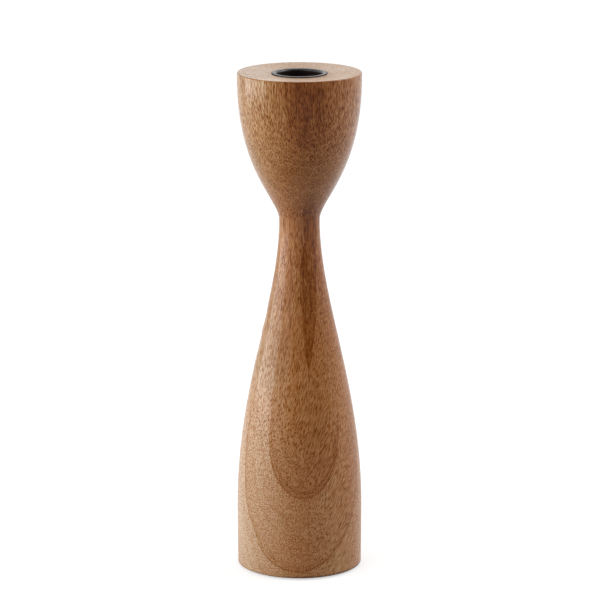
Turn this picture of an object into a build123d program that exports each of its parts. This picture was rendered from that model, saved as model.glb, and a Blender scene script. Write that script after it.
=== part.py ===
from build123d import *
import os

# A turned wooden candle stand: a bell foot, a narrow waist and a goblet head in one piece of wood,
# a loose drawn-steel socket for one dinner candle, and a felt pad under the foot.
# Millimetres, +Z up, origin on the table at the middle of the felt.

# Candle and the steel socket that holds it
candle_diameter = 22.0       # standard dinner candle
candle_clearance = 0.25      # radial room round the candle
socket_depth = 22.0          # flange top to the inside of the floor
sheet_thickness = 0.5        # steel of the wall, the floor and the flange
flange_width = 2.5           # ring of steel round the candle hole
lip_radius = 1.0             # drawn edge where the flange turns down into the hole
floor_radius = 2.0           # inside corner of the floor
flange_edge = 0.35           # rounded outer edge of the flange

# Felt pad
felt_thickness = 0.8
felt_margin = 3.5            # bare wood left round the felt

# Turned outline, stacked up from the table
foot_radius = 31.0
belly_height = 30.0          # table to the widest place
belly_radius = 31.2
bell_height = 146.5          # widest place to the waist
waist_radius = 10.0
cup_height = 70.5            # waist to where the head turns upright
rim_radius = 30.6
rim_band = 3.0               # upright band below the top edge
rim_edge = 0.6               # sanded-over top edge
foot_edge = 0.6              # sanded-over bottom edge
dish_depth = 0.8             # hollow of the top face, where the socket sits

# How long each end of a curve keeps its upright direction, as a share of that curve's height
belly_fullness = 0.423
bell_neck_fullness = 0.280
cup_neck_fullness = 0.142
cup_fullness = 0.658

# Fits of the steel socket in the wood
socket_clearance = 0.2       # radial room round the socket in its bore
socket_floor_gap = 0.8       # air below the socket's floor
seat_margin = 0.75           # flat seat beyond the flange
bore_edge = 0.6              # broken edge of the bore, clear of the socket's drawn corner

# Worked-out places
waist_height = belly_height + bell_height
upright_height = waist_height + cup_height
stand_height = upright_height + rim_band
seat_height = stand_height - dish_depth
flange_top = seat_height + sheet_thickness
socket_floor = flange_top - socket_depth
socket_underside = socket_floor - sheet_thickness
bore_floor = socket_underside - socket_floor_gap
socket_radius = candle_diameter / 2 + candle_clearance
socket_outer_radius = socket_radius + sheet_thickness
flange_radius = socket_radius + flange_width
bore_radius = socket_outer_radius + socket_clearance
seat_radius = flange_radius + seat_margin
felt_radius = foot_radius - felt_margin

# Wooden stand, turned from one blank and bored for the socket
with BuildPart() as turned_body:
    with BuildSketch(Plane.XZ):
        with BuildLine():
            foot = (foot_radius, felt_thickness)
            belly = (belly_radius, belly_height)
            waist = (waist_radius, waist_height)
            upright = (rim_radius, upright_height)
            Polyline((0, bore_floor), (0, felt_thickness), foot)
            TangentArc(belly, foot, tangent=(0, -1))
            Bezier(
                belly,
                (belly_radius, belly_height + belly_fullness * bell_height),
                (waist_radius, waist_height - bell_neck_fullness * bell_height),
                waist,
            )
            Bezier(
                waist,
                (waist_radius, waist_height + cup_neck_fullness * cup_height),
                (rim_radius, upright_height - cup_fullness * cup_height),
                upright,
            )
            Polyline(
                upright,
                (rim_radius, stand_height),
                (seat_radius, seat_height),
                (bore_radius + bore_edge, seat_height),
                (bore_radius, seat_height - bore_edge),
                (bore_radius, bore_floor),
                (0, bore_floor),
            )
        make_face()
    revolve(axis=Axis.Z)
    circles_by_height = turned_body.edges().filter_by(GeomType.CIRCLE).group_by(Axis.Z)
    fillet(circles_by_height[-1], rim_edge)
    fillet(circles_by_height[0], foot_edge)
turned_body.part.label = "turned_body"

# Steel socket, drawn from sheet: a straight cup with a flat flange that rests on the wood
with BuildPart() as candle_socket:
    with BuildSketch(Plane.XY.offset(seat_height)):
        Circle(flange_radius)
    extrude(amount=sheet_thickness)
    with BuildSketch(Plane.XY.offset(socket_underside)):
        Circle(socket_outer_radius)
    extrude(amount=seat_height - socket_underside)
    with Locations((0, 0, flange_top)):
        Hole(socket_radius, depth=socket_depth)
    circles_by_height = candle_socket.edges().filter_by(GeomType.CIRCLE).group_by(Axis.Z)
    underside_edge, floor_corner = circles_by_height[:2]
    drawn_corner = circles_by_height[-2].sort_by(SortBy.RADIUS)[0]
    hole_edge, flange_rim = circles_by_height[-1].sort_by(SortBy.RADIUS)
    fillet(hole_edge, lip_radius)
    fillet(drawn_corner, lip_radius - sheet_thickness)
    fillet(flange_rim, flange_edge)
    fillet(floor_corner, floor_radius)
    fillet(underside_edge, floor_radius + sheet_thickness)
candle_socket.part.label = "candle_socket"

# Felt pad, glued under the foot and set back from its edge
with BuildPart() as felt_pad:
    with BuildSketch(Plane.XY):
        Circle(felt_radius)
    extrude(amount=felt_thickness)
felt_pad.part.label = "felt_pad"

os.makedirs("parts", exist_ok=True)
for piece in (turned_body, candle_socket, felt_pad):
    export_step(piece.part, f"parts/{piece.part.label}.step")
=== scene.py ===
import math

import bpy
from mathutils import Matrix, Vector


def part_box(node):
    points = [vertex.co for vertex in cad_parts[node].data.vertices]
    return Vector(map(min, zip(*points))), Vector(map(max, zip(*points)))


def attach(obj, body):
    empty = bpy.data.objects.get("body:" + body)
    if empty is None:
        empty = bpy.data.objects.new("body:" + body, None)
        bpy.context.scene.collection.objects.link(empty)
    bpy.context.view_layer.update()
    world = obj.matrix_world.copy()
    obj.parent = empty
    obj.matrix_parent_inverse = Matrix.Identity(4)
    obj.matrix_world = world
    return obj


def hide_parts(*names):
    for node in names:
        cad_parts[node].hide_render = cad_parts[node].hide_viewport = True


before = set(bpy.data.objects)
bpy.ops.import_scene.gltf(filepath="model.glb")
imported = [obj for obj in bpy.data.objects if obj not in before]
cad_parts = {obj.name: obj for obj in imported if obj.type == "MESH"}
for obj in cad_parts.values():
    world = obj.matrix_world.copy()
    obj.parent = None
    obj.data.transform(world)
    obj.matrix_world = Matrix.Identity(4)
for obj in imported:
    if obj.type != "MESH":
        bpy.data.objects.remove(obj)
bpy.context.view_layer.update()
print("frame loaded:", ", ".join(sorted(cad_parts)))


class Wire:                                   # one node socket that can be used in sums
    def __init__(self, tree, socket=None):
        self.tree = tree
        self.socket = socket

    def node(self, kind, settings=None, inputs=None, output=0):
        made = self.tree.nodes.new(kind)
        for name, value in (settings or {}).items():
            if name == "stops":
                fillRamp(made.color_ramp, value)
            else:
                setattr(made, name, value)
        for name, value in (inputs or {}).items():
            if isinstance(value, Wire):
                self.tree.links.new(value.socket, made.inputs[name])
            else:
                made.inputs[name].default_value = value
        return Wire(self.tree, made.outputs[output])

    def out(self, name):                      # another output of the same node
        return Wire(self.tree, self.socket.node.outputs[name])

    def maths(self, operation, *values):      # with no values, self is the only one
        return self.node("ShaderNodeMath", {"operation": operation}, dict(enumerate(values or (self,))))

    def __add__(self, other):
        return self.maths("ADD", self, other)

    def __radd__(self, other):
        return self.maths("ADD", other, self)

    def __sub__(self, other):
        return self.maths("SUBTRACT", self, other)

    def __rsub__(self, other):
        return self.maths("SUBTRACT", other, self)

    def __mul__(self, other):
        return self.maths("MULTIPLY", self, other)

    def __rmul__(self, other):
        return self.maths("MULTIPLY", other, self)

    def __truediv__(self, other):
        return self.maths("DIVIDE", self, other)

    def __rtruediv__(self, other):
        return self.maths("DIVIDE", other, self)

    def step(self, low, high):                # 0 below low, 1 above high, smooth between
        limits = {"Value": self, "From Min": low, "From Max": high}
        return self.node("ShaderNodeMapRange", {"interpolation_type": "SMOOTHSTEP"}, limits)

    def band(self, rise, fall):               # 1 between the rise and the fall
        return self.step(*rise) * (1 - self.step(*fall))

    def ramp(self, stops):
        return self.node("ShaderNodeValToRGB", {"stops": stops}, {"Fac": self})

    def vector(self, x, y, z):
        return self.node("ShaderNodeCombineXYZ", None, {"X": x, "Y": y, "Z": z})

    def noise(self, size, detail=2.0, rough=0.5, distortion=0.0):      # size is one blotch, in mm
        values = {"Vector": self, "Scale": 1 / size, "Detail": detail}
        values.update({"Roughness": rough, "Distortion": distortion})
        return self.node("ShaderNodeTexNoise", None, values)

    def mix(self, first, second, blend="MIX"):                         # self is the share of second
        settings = {"data_type": "RGBA", "blend_type": blend}
        return self.node("ShaderNodeMix", settings, {0: self, 6: first, 7: second}, 2)


def fillRamp(ramp, stops):
    ramp.elements.remove(ramp.elements[1])
    ramp.elements[0].position = stops[0][0]
    for stop in stops[1:]:
        ramp.elements.new(stop[0])
    for element, (place, value) in zip(ramp.elements, stops):
        element.color = (*value, 1.0) if hasattr(value, "__len__") else (value, value, value, 1.0)


def newMaterial(name):
    material = bpy.data.materials.new(name)
    material.use_nodes = True
    tree = material.node_tree
    return material, Wire(tree), tree.nodes["Principled BSDF"]


def plug(wire, shader, name):
    wire.tree.links.new(wire.socket, shader.inputs[name])


def plugBump(height, shader, look):
    values = {"Strength": look["bumpStrength"], "Distance": look["bumpDistance"], "Height": height}
    plug(height.node("ShaderNodeBump", None, values), shader, "Normal")


def inMillimetres(wire):
    place = wire.node("ShaderNodeTexCoord", output="Object")
    return wire.node("ShaderNodeVectorMath", {"operation": "SCALE"}, {0: place, "Scale": 1000.0})


def distance(first, second):
    return (first * first + second * second).maths("SQRT")


def opaque(colour):
    return (*colour, 1.0)


# Oiled wood, cut from a log whose heart leans away behind the stand
woodLook = {
    "height": 250.0,                     # mm
    "tones": [                           # from pale to dark
        (0.00, (0.550, 0.325, 0.155)),
        (0.25, (0.430, 0.186, 0.067)),
        (0.40, (0.345, 0.123, 0.031)),
        (0.52, (0.280, 0.086, 0.013)),
        (0.66, (0.200, 0.050, 0.003)),
        (0.80, (0.160, 0.036, 0.001)),
        (1.00, (0.100, 0.020, 0.001)),
    ],
    "heightTones": [                     # share of the height, darkness there
        (0.06, 0.195), (0.28, 0.22), (0.4, 0.25), (0.54, 0.305), (0.64, 0.305), (0.68, 0.285),
        (0.725, 0.395), (0.745, 0.395), (0.775, 0.345), (0.82, 0.345), (0.9, 0.285),
    ],
    "slowStretch": 0.4,                  # slow changes are drawn out upwards

    # fibres, which run to the right and back at the foot and straight up in the neck
    "sweep": (0.68, 0.6),                # mm to the right and back for each mm up, at the foot
    "sweepTop": 170.0,                   # mm up, where they run straight
    "sweepPower": 2.2,
    "warp": 1.0,                         # mm that the fibres wander
    "warpSize": 22.0,                    # mm of one wave
    "straightGrain": [(0.43, 0.0), (0.58, 1.0), (0.74, 1.0), (0.82, 0.0)],     # share of the height

    # growth rings
    "heart": (0.93, 11.54),              # heart of the log at table height, mm from the axis
    "lean": (-0.0449, 0.1917),           # mm sideways for each mm up
    "firstRing": 43.41,                  # mm from the heart to a ring's dark line
    "ringWidth": 7.15,                   # mm between rings
    "ringWaves": (30.0, 0.5),            # mm of one wave in a ring, mm that it moves the ring
    "ringRipple": (3.0, 0.15),           # the same for the small ones
    "ringTones": [(0.0, 1.0), (0.15, 0.8), (0.5, 0.35), (0.8, 0.05), (1.0, 0.0)],
    "ringMiddle": 0.4,                   # tone of a ring that leaves the wood as it is
    "ringTone": (0.06, 0.08),            # at the foot, and more above it
    "ringRise": (20, 60),                # mm up, where that begins
    "ringLines": [
        (0.0, 1.0), (0.016, 0.25), (0.045, 0.1), (0.063, 0.5), (0.08, 0.0), (0.984, 0.0), (1.0, 1.0),
    ],
    "ringLine": 0.28,
    "ringFade": (50.0, 95.0),            # mm up, where the rings grow faint
    "ringLoss": 0.85,
    "layer": (0.7, 40, 120),             # mm of one thin layer: from the heart, across and up
    "layerTone": (0.2, 0.15),            # everywhere, and more on the cup

    # dark streak up the front of the neck
    "streakPlace": 4.6,                  # mm to the right, its middle
    "streakReach": 14.0,                 # mm, half of the streak at its widest
    "streakWidths": [                    # share of the height, share of the reach
        (0.42, 0.0), (0.45, 0.14), (0.5, 0.22), (0.56, 0.28), (0.68, 0.29), (0.74, 0.21), (0.8, 0.18),
        (0.86, 0.43), (0.94, 0.79), (1.0, 0.93),
    ],
    "streakSpread": (195, 215),          # mm up, where it spreads into the cup
    "streakFull": (0.85, -0.45),         # share of the width that is full, and its change in the spread
    "streakEnd": (1.05, 0.3),            # share where it has faded, and its change in the spread
    "streakSoft": 0.2,                   # mm more to fade
    "streakWave": (4, 50),               # mm across and along
    "streakWander": (3, 5),              # mm, and more in the spread
    "streakTone": 0.2,
    "streakBands": (1.5, 90),            # mm across and along
    "streakBandEdge": (0.3, 0.65),
    "streakBandTone": (0.5, 0.75),       # between the bands, and more in them
    "streakFront": (-4, 4),              # mm behind the axis, where it ends

    # marks: mm across and along the grain, the value that leaves the wood as it is, and
    # how much darker a mark is, everywhere and then more or less in a zone
    "marks": {
        "streaks": {"size": (1.0, 70), "detail": 3, "middle": 0.5, "tone": 0.14,
                    "zones": {"neck": 0.3, "cupTop": 0.18}},
        "strands": {"size": (0.4, 24), "detail": 2, "middle": 0.5, "tone": 0.16,
                    "zones": {"neck": 0.8, "cupTop": 0.45}},
        "flecks": {"size": (0.36, 3), "detail": 0, "middle": 0.5, "tone": 0.42, "zones": {"neck": -0.3}},
        "threads": {"size": (0.8, 45), "detail": 1, "middle": 0.3, "tone": 0.06,
                    "zones": {"neck": 0.3, "cupTop": 0.16}},
        "pores": {"size": (0.42, 3.6), "middle": 0.0, "tone": 0.56,
                  "zones": {"neck": -0.4, "upperBell": -0.12}},
        "sanding": {"size": (9, 0.45), "detail": 2, "middle": 0.5, "tone": 0.16, "zones": {}},
        "patches": {"size": 26, "detail": 2, "middle": 0.5, "tone": 0.2, "zones": {}},
    },
    "threadEdge": (0.0, 0.06),
    "poreEdge": (0.2, 0.5),
    "neckTone": 0.08,                    # for the pores that the neck lacks

    # zones, in mm: up unless it says sideways, and each pair is from none to all
    "cup": (180, 200),
    "cupTop": (212, 240),
    "lowerCup": ((180, 195), (205, 225)),
    "upperBell": ((70, 95), (125, 150)),
    "leftCup": ((-18, -4), (0, 16)),     # sideways
    "leftCupFrom": (185, 200),
    "leftCupTone": (0.06, 0.05),         # and more at the top
    "rightFoot": (0, 20),                # sideways
    "rightFootTop": (15, 70),
    "rightFootTone": -0.1,
    "darkerRightSide": (-30, 6),           # sideways, darker from the far left towards the right
    "darkerRightTone": 0.05,
    "paintedNeckShade": (-14, -4),               # sideways, where painted shade tones down the left light's sheen on the neck
    "paintedNeckShadeHeight": ((85, 105), (180, 190)),
    "sapwoodAndSheenSide": (-28.0, 4.0),         # sideways, paler and yellower on the left, partly the paler outer wood of the log and partly painted sheen of the left light
    "bellSheenSide": (-20.0, -4.0),           # sideways, edge of the painted sheen on the left of the bell
    # mm up, where the painted sheen on the bell fades out
    "bellSheenTop": (80.0, 150.0),
    "paintedFootShade": (1.0, 2.4),              # painted shade along the lowest edge, where the foot meets the table
    "paintedFootShadeSide": (-20, 5),            # sideways
    "paintedFootShadeShare": (0.25, 0.75),       # on the left, and more on the right
    "topFace": (249.1, 249.3),
    "topEdge": (29.9, 30.2),             # from the axis
    "paintedTopReflection": (-26, -12),              # behind the axis, where painted reflection lightens the front of the top
    # share of the painted sheen's pale grey on the top face
    "paintedTopSheenShare": 0.25,
    "tints": {                           # laid over the tones in this order
        # paler left side: partly the paler outer wood, partly painted sheen of the left light
        "sapwoodAndSheen": ("MULTIPLY", (0.9, 1.12, 1.2)),
        "neck": ("ADD", (0.002, 0.005, 0.008)),
        # painted shade that tones down the left light's sheen on the neck
        "paintedNeckShade": ("MULTIPLY", (0.9, 0.97, 1.0)),
        "lowerCup": ("MULTIPLY", (1.0, 1.1, 1.22)),
        # painted sheen on the left of the bell
        "paintedBellSheen": ("MULTIPLY", (1.13, 1.26, 1.8)),
        # painted shade on the foot's lowest edge
        "paintedFootShade": ("MULTIPLY", (0.3, 0.3, 0.32)),
        # painted sheen and reflection on the top face: paler, greyer, and lighter at the front
        "top": ("MULTIPLY", (1.4, 2.3, 5.0)),
        "paintedTopSheen": ("MIX", (0.56, 0.54, 0.47)),
        "paintedTopReflection": ("MULTIPLY", (1.25, 1.3, 1.4)),
    },

    # surface
    "roughness": 0.56,
    "poreRoughness": 0.2,
    "strandRoughness": 0.2,
    "relief": {"strands": 0.4, "pores": -0.5, "sanding": 8},
    "bumpStrength": 0.4,
    "bumpDistance": 0.00006,             # m
    "specular": 0.05,
    "polish": 0.4,                       # seen straight on
    "slantPolish": (0.25, 0.25),         # more of it at a slant, and more again on the cup
    "slant": (0.1, 0.75),
    "porePolish": -0.35,
    # less polish on the top, whose sheen is painted into its colour
    "topPolishLoss": 0.8,
    "polishRoughness": 0.2,
}


def makeOiledWood(look):
    material, wire, shader = newMaterial("oiledWood")
    mm = inMillimetres(wire)
    x = mm.node("ShaderNodeSeparateXYZ", None, {0: mm}, "X")
    y = x.out("Y")
    z = x.out("Z")
    share = z / look["height"]
    slow = wire.vector(x, y, z * look["slowStretch"])
    cup = z.step(*look["cup"])
    cupTop = z.step(*look["cupTop"])
    lowerCup = z.band(*look["lowerCup"])
    neck = share.ramp(look["straightGrain"])

    # the fibres lean less and less towards the neck
    sweepTop = look["sweepTop"]
    below = z.maths("MAXIMUM", sweepTop - z, 0.0) / sweepTop
    sweep = below.maths("POWER", below, look["sweepPower"]) * (sweepTop / look["sweepPower"])
    warp = (slow.noise(look["warpSize"]) - 0.5) * (2 * look["warp"])
    aside = x + sweep * look["sweep"][0] + warp
    behind = y + sweep * look["sweep"][1] + warp

    def fibres(wide, along):                  # mm of one mark, across and along the grain
        return wire.vector(aside / wide, behind / wide, z / along)

    # growth rings
    across = x - (z * look["lean"][0] + look["heart"][0])
    depth = y - (z * look["lean"][1] + look["heart"][1])
    waveSize, waveReach = look["ringWaves"]
    rippleSize, rippleReach = look["ringRipple"]
    fromHeart = distance(across, depth) + (slow.noise(waveSize) - 0.5) * waveReach
    fromHeart = fromHeart + (mm.noise(rippleSize) - 0.5) * rippleReach
    turn = ((fromHeart - look["firstRing"]) / look["ringWidth"]).maths("FRACT")
    clear = 1 - z.step(*look["ringFade"]) * look["ringLoss"]
    ringTone = look["ringTone"][0] + z.step(*look["ringRise"]) * look["ringTone"][1]
    rings = (turn.ramp(look["ringTones"]) - look["ringMiddle"]) * clear * ringTone
    rings = rings + turn.ramp(look["ringLines"]) * clear * look["ringLine"]
    thick, wide, tall = look["layer"]
    layers = wire.vector(fromHeart / thick, across / wide, z / tall).noise(1.0)
    rings = rings + (layers - 0.5) * (look["layerTone"][0] + cup * look["layerTone"][1])

    # dark streak up the front of the neck, spreading in the cup
    reach = share.ramp(look["streakWidths"]) * look["streakReach"]
    spread = z.step(*look["streakSpread"])
    wander = look["streakWander"][0] + spread * look["streakWander"][1]
    waver = (fibres(*look["streakWave"]).noise(1.0) - 0.5) * wander
    offCentre = (x - look["streakPlace"] + waver).maths("ABSOLUTE")
    full = reach * (look["streakFull"][0] + spread * look["streakFull"][1])
    end = reach * (look["streakEnd"][0] + spread * look["streakEnd"][1]) + look["streakSoft"]
    front = 1 - y.step(*look["streakFront"])
    bands = fibres(*look["streakBands"]).noise(1.0, 1).step(*look["streakBandEdge"])
    streak = (1 - offCentre.step(full, end)) * front * ((1 - lowerCup) * look["streakTone"])
    streak = streak * (look["streakBandTone"][0] + bands * look["streakBandTone"][1])

    # fibres, pores, sanding marks and slow changes of colour
    marks = look["marks"]
    patterns = {}
    for name in ("streaks", "strands", "flecks", "threads"):
        patterns[name] = fibres(*marks[name]["size"]).noise(1.0, marks[name]["detail"])
    offThread = (patterns["threads"] - 0.5).maths("ABSOLUTE")
    patterns["threads"] = 1 - offThread.step(*look["threadEdge"])
    cells = {"Vector": fibres(*marks["pores"]["size"]), "Scale": 1.0}
    fromPore = wire.node("ShaderNodeTexVoronoi", {"feature": "F1"}, cells, "Distance")
    pores = 1 - fromPore.step(*look["poreEdge"])
    patterns["pores"] = pores
    wide, along = marks["sanding"]["size"]
    patterns["sanding"] = wire.vector(x / wide, y / wide, z / along).noise(1.0, marks["sanding"]["detail"])
    patterns["patches"] = slow.noise(marks["patches"]["size"], marks["patches"]["detail"])
    zones = {"neck": neck, "cupTop": cupTop, "upperBell": z.band(*look["upperBell"])}
    grain = neck * look["neckTone"]
    for name, mark in marks.items():
        strength = mark["tone"]
        for zone, change in mark["zones"].items():
            strength = strength + zones[zone] * change
        grain = grain + (patterns[name] - mark["middle"]) * strength

    # all of it as one tone, then the colours of each zone, with painted sheen and shade among them
    leftCup = z.step(*look["leftCupFrom"]) * x.band(*look["leftCup"])
    rightFoot = x.step(*look["rightFoot"]) * (1 - z.step(*look["rightFootTop"]))
    tone = share.ramp(look["heightTones"]) + rings + streak + grain
    tone = tone + leftCup * (look["leftCupTone"][0] + cupTop * look["leftCupTone"][1])
    # darker from the far left towards the right, and lighter at the right of the foot
    tone = tone + x.step(*look["darkerRightSide"]) * look["darkerRightTone"] + rightFoot * look["rightFootTone"]
    top = z.step(*look["topFace"]) * (1 - distance(x, y).step(*look["topEdge"]))
    # painted shade on the foot's lowest edge, stronger on the right
    footShadeWeight = look["paintedFootShadeShare"][0] + x.step(*look["paintedFootShadeSide"]) * look["paintedFootShadeShare"][1]
    # some masks carry painted sheen or shade, wholly or partly: the left side, the neck's left, the bell's
    # left, the foot's lowest edge and the top face
    masks = {
        "sapwoodAndSheen": (1 - x.step(*look["sapwoodAndSheenSide"])) * (1 - top),
        "neck": neck,
        "paintedNeckShade": (1 - x.step(*look["paintedNeckShade"])) * z.band(*look["paintedNeckShadeHeight"]),
        "lowerCup": lowerCup,
        "paintedBellSheen": (1 - x.step(*look["bellSheenSide"])) * (1 - z.step(*look["bellSheenTop"])),
        "paintedFootShade": (1 - z.step(*look["paintedFootShade"])) * footShadeWeight,
        "top": top,
        "paintedTopSheen": top * look["paintedTopSheenShare"],
        "paintedTopReflection": top * (1 - y.step(*look["paintedTopReflection"])),
    }
    colour = tone.ramp(look["tones"])
    for name, (blend, tint) in look["tints"].items():
        colour = masks[name].mix(colour, opaque(tint), blend)
    plug(colour, shader, "Base Color")

    strands = patterns["strands"] - 0.5
    sanding = patterns["sanding"] - 0.5
    roughness = look["roughness"] + pores * look["poreRoughness"] + strands * look["strandRoughness"]
    plug(roughness, shader, "Roughness")
    relief = look["relief"]
    height = strands * relief["strands"] + pores * relief["pores"] + sanding * relief["sanding"]
    plugBump(height, shader, look)
    slant = wire.node("ShaderNodeLayerWeight", None, {"Blend": 0.5}, "Facing").step(*look["slant"])
    polish = look["polish"] + slant * (look["slantPolish"][0] + cup * look["slantPolish"][1])
    polish = polish + pores * look["porePolish"]
    plug(polish * (1 - top * look["topPolishLoss"]), shader, "Coat Weight")
    shader.inputs["Specular IOR Level"].default_value = look["specular"]
    shader.inputs["Coat Roughness"].default_value = look["polishRoughness"]
    return material


# Black lacquered steel
steelLook = {
    "colour": (0.010, 0.0085, 0.0085),
    "worn": (0.030, 0.027, 0.026),       # where the lacquer is thin
    "inside": (0.030, 0.020, 0.018),     # dark brown bare metal inside the cup
    "mottle": 3.0,                       # mm of one cloud in the lacquer
    "mottleEdge": (0.35, 0.8),
    "mottleRoughness": 0.12,
    "grain": 0.25,                       # mm of one bump in it
    "bumpStrength": 0.25,
    "bumpDistance": 0.00002,             # m
    "roughness": 0.26,
    "insideRoughness": 0.75,
    "lip": (248.3, 249.2),               # mm up, from the matt inside to the lacquered flange
    "rim": (13.25, 13.5),                # mm from the axis, where the dull cut edge begins
}


def makeBlackSteel(look):
    material, wire, shader = newMaterial("blackSteel")
    mm = inMillimetres(wire)
    mottle = mm.noise(look["mottle"], 3)
    x = mm.node("ShaderNodeSeparateXYZ", None, {0: mm}, "X")
    y = x.out("Y")
    flange = x.out("Z").step(*look["lip"])
    rim = distance(x, y).step(*look["rim"])
    lacquer = mottle.step(*look["mottleEdge"]).mix(opaque(look["colour"]), opaque(look["worn"]))
    plug(flange.mix(opaque(look["inside"]), lacquer), shader, "Base Color")
    plug(1 - flange, shader, "Metallic")
    matt = (1 - flange + rim) * (look["insideRoughness"] - look["roughness"])
    plug(look["roughness"] + matt + (mottle - 0.5) * look["mottleRoughness"], shader, "Roughness")
    plugBump(mm.noise(look["grain"]), shader, look)
    return material


# Felt under the foot
feltLook = {
    "dark": (0.012, 0.010, 0.009),
    "light": (0.060, 0.052, 0.045),
    "hair": (0.5, 4, 0.65, 2.5),         # mm of one hair, then its detail, roughness and curl
    "hairShare": 0.6,                    # of the colour's change, the rest is matting
    "matting": 4.0,                      # mm of one matted place
    "nap": (0.35, 0.7),                  # from dark to light
    "bumpStrength": 0.8,
    "bumpDistance": 0.0002,              # m
    "roughness": 0.95,
    "sheen": 0.12,
    "edge": 0.00025,                     # m, soft cut edge
    "fray": 0.00015,                     # m that the edge is uneven
    "frayLength": 0.0012,                # m along the edge
    "corners": 256,
    "edgeSteps": 3,
    "smoothAngle": 40,                   # degrees
}


def makeFelt(look):
    material, wire, shader = newMaterial("darkFelt")
    mm = inMillimetres(wire)
    hair = mm.noise(*look["hair"])
    nap = hair * look["hairShare"] + mm.noise(look["matting"]) * (1 - look["hairShare"])
    plug(nap.step(*look["nap"]).mix(opaque(look["dark"]), opaque(look["light"])), shader, "Base Color")
    plugBump(hair, shader, look)
    shader.inputs["Roughness"].default_value = look["roughness"]
    shader.inputs["Sheen Weight"].default_value = look["sheen"]
    return material


def applyModifier(modifier):
    bpy.ops.object.mode_set(mode="OBJECT")
    bpy.ops.object.modifier_apply(modifier=modifier.name)
    bpy.ops.object.mode_set(mode="EDIT")
    bpy.ops.mesh.select_all(action="SELECT")


def modelFeltDisc(look):
    low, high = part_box("felt_pad")
    bpy.ops.object.select_all(action="DESELECT")
    bpy.ops.mesh.primitive_circle_add(vertices=look["corners"], radius=high.x)
    disc = bpy.context.object
    disc.name = "felt_disc"
    bpy.ops.object.mode_set(mode="EDIT")
    bpy.ops.mesh.extrude_region_move(TRANSFORM_OT_translate={"value": (0, 0, high.z - low.z)})
    bpy.ops.mesh.select_all(action="SELECT")
    bpy.ops.mesh.normals_make_consistent(inside=False)

    fray = disc.modifiers.new("fray", "DISPLACE")                # while it has no caps, only sideways
    fray.texture = bpy.data.textures.new("fray", "CLOUDS")
    fray.texture.noise_scale = look["frayLength"]
    fray.strength = look["fray"]
    fray.mid_level = 1.0                                         # only inwards
    applyModifier(fray)
    bpy.ops.mesh.fill_holes(sides=0)
    softEdge = disc.modifiers.new("soft edge", "BEVEL")
    softEdge.width = look["edge"]
    softEdge.segments = look["edgeSteps"]
    applyModifier(softEdge)
    bpy.ops.mesh.normals_make_consistent(inside=False)
    bpy.ops.object.mode_set(mode="OBJECT")
    bpy.ops.object.shade_smooth_by_angle(angle=math.radians(look["smoothAngle"]))
    return disc


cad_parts["turned_body"].data.materials[0] = makeOiledWood(woodLook)
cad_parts["candle_socket"].data.materials[0] = makeBlackSteel(steelLook)
print("wood and steel finished")

feltDisc = modelFeltDisc(feltLook)
feltDisc.data.materials.append(makeFelt(feltLook))
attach(feltDisc, "stand")
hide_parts("felt_pad")
print("felt disc modelled")

# White studio: a pale floor, three soft panels and a dark room behind the camera
studio = {
    "floorSize": (14.0, 14.0),           # m
    "floorColour": (0.45, 0.45, 0.45),
    "floorLift": 0.6,                    # light that only shows in what looks at the floor
    "worldLevel": 1.0,
    "roomColour": (0.025, 0.025, 0.025),
    "roomSize": (6.4, 3.2),              # m, width and height
    "roomDistance": 2.4,                 # m in front of the stand
    "roomTurn": 20,                      # degrees round to the right
}
softPanels = {
    "leftPanel": {"at": (-0.8, 0.0, 0.225), "size": (0.82, 0.36), "watts": 5.2, "aim": (0.0, 0.0, 0.225)},
    "frontPanel": {"at": (-1.1, -1.3, 0.9), "size": (1.2, 1.2), "watts": 6.0, "aim": (0.0, 0.0, 0.12)},
    "highPanel": {"at": (0.95, 0.1, 0.8), "size": (0.8, 0.8), "watts": 6.0, "aim": (0.0, 0.0, 0.12)},
}


def addPlane(name, size, colour):
    bpy.ops.object.select_all(action="DESELECT")
    bpy.ops.mesh.primitive_plane_add(size=1.0)
    plane = bpy.context.object
    plane.name = name
    plane.scale = (*size, 1.0)
    material, wire, shader = newMaterial(name)
    shader.inputs["Base Color"].default_value = opaque(colour)
    shader.inputs["Roughness"].default_value = 1.0
    shader.inputs["Specular IOR Level"].default_value = 0.0
    plane.data.materials.append(material)
    return plane, wire, shader


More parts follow.
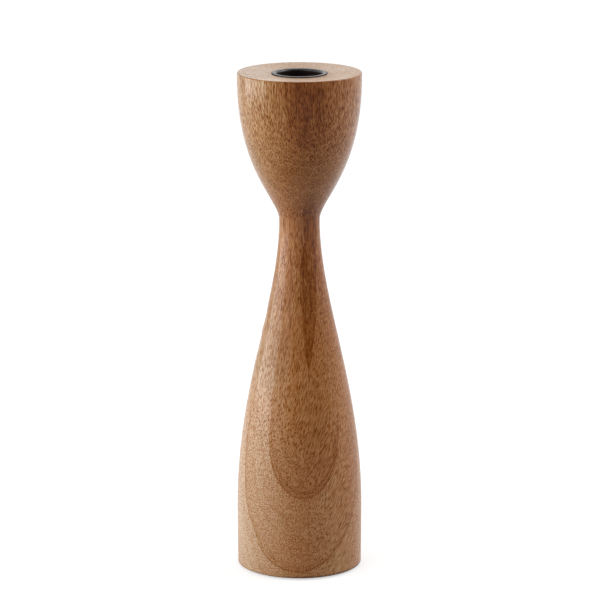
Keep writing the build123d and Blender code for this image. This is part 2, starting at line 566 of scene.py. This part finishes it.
def addFloor(look):
    wire, shader = addPlane("paleFloor", look["floorSize"], look["floorColour"])[1:]
    seen = wire.node("ShaderNodeLightPath", output="Is Camera Ray")
    seen = seen.maths("MAXIMUM", seen, seen.out("Is Glossy Ray"))
    seen = seen.maths("MAXIMUM", seen, seen.node("ShaderNodeLightPath", output="Is Transmission Ray"))
    plug(seen * look["floorLift"], shader, "Emission Color")
    shader.inputs["Emission Strength"].default_value = 1.0


def addDarkRoom(look):
    room = addPlane("darkRoom", look["roomSize"], look["roomColour"])[0]
    turn = math.radians(look["roomTurn"])
    room.rotation_euler = (math.radians(90), 0, turn)
    room.location = (math.sin(turn) * look["roomDistance"], -math.cos(turn) * look["roomDistance"],
                     look["roomSize"][1] / 2)
    room.visible_camera = False


def addWorld(look):
    world = bpy.data.worlds.new("studio")
    world.use_nodes = True
    bpy.context.scene.world = world
    background = world.node_tree.nodes["Background"]
    background.inputs["Color"].default_value = (1.0, 1.0, 1.0, 1.0)
    background.inputs["Strength"].default_value = look["worldLevel"]


def addSoftPanel(name, look):
    bpy.ops.object.light_add(type="AREA", location=look["at"])
    panel = bpy.context.object
    panel.name = name
    panel.data.shape = "RECTANGLE"
    panel.data.size, panel.data.size_y = look["size"]
    panel.data.energy = look["watts"]
    towards = Vector(look["aim"]) - panel.location
    panel.rotation_euler = towards.to_track_quat("-Z", "Y").to_euler()


addFloor(studio)
addDarkRoom(studio)
addWorld(studio)
for name, look in softPanels.items():
    addSoftPanel(name, look)
print("studio lit")

# Camera of the photograph, looking along +Y and down
photoCamera = {
    "at": (0.00026, -1.606, 0.514),      # m
    "pitch": 13.259,                     # degrees down
    "lens": 199.6,                       # mm
    "sensor": 36.0,                      # mm
    "farthest": 50,                      # m
}
bpy.ops.object.camera_add(location=photoCamera["at"])
camera = bpy.context.object
camera.rotation_euler = (math.radians(90 - photoCamera["pitch"]), 0, 0)
camera.data.lens = photoCamera["lens"]
camera.data.sensor_width = photoCamera["sensor"]
camera.data.clip_end = photoCamera["farthest"]
bpy.context.scene.camera = camera
bpy.context.scene.view_settings.view_transform = "Standard"
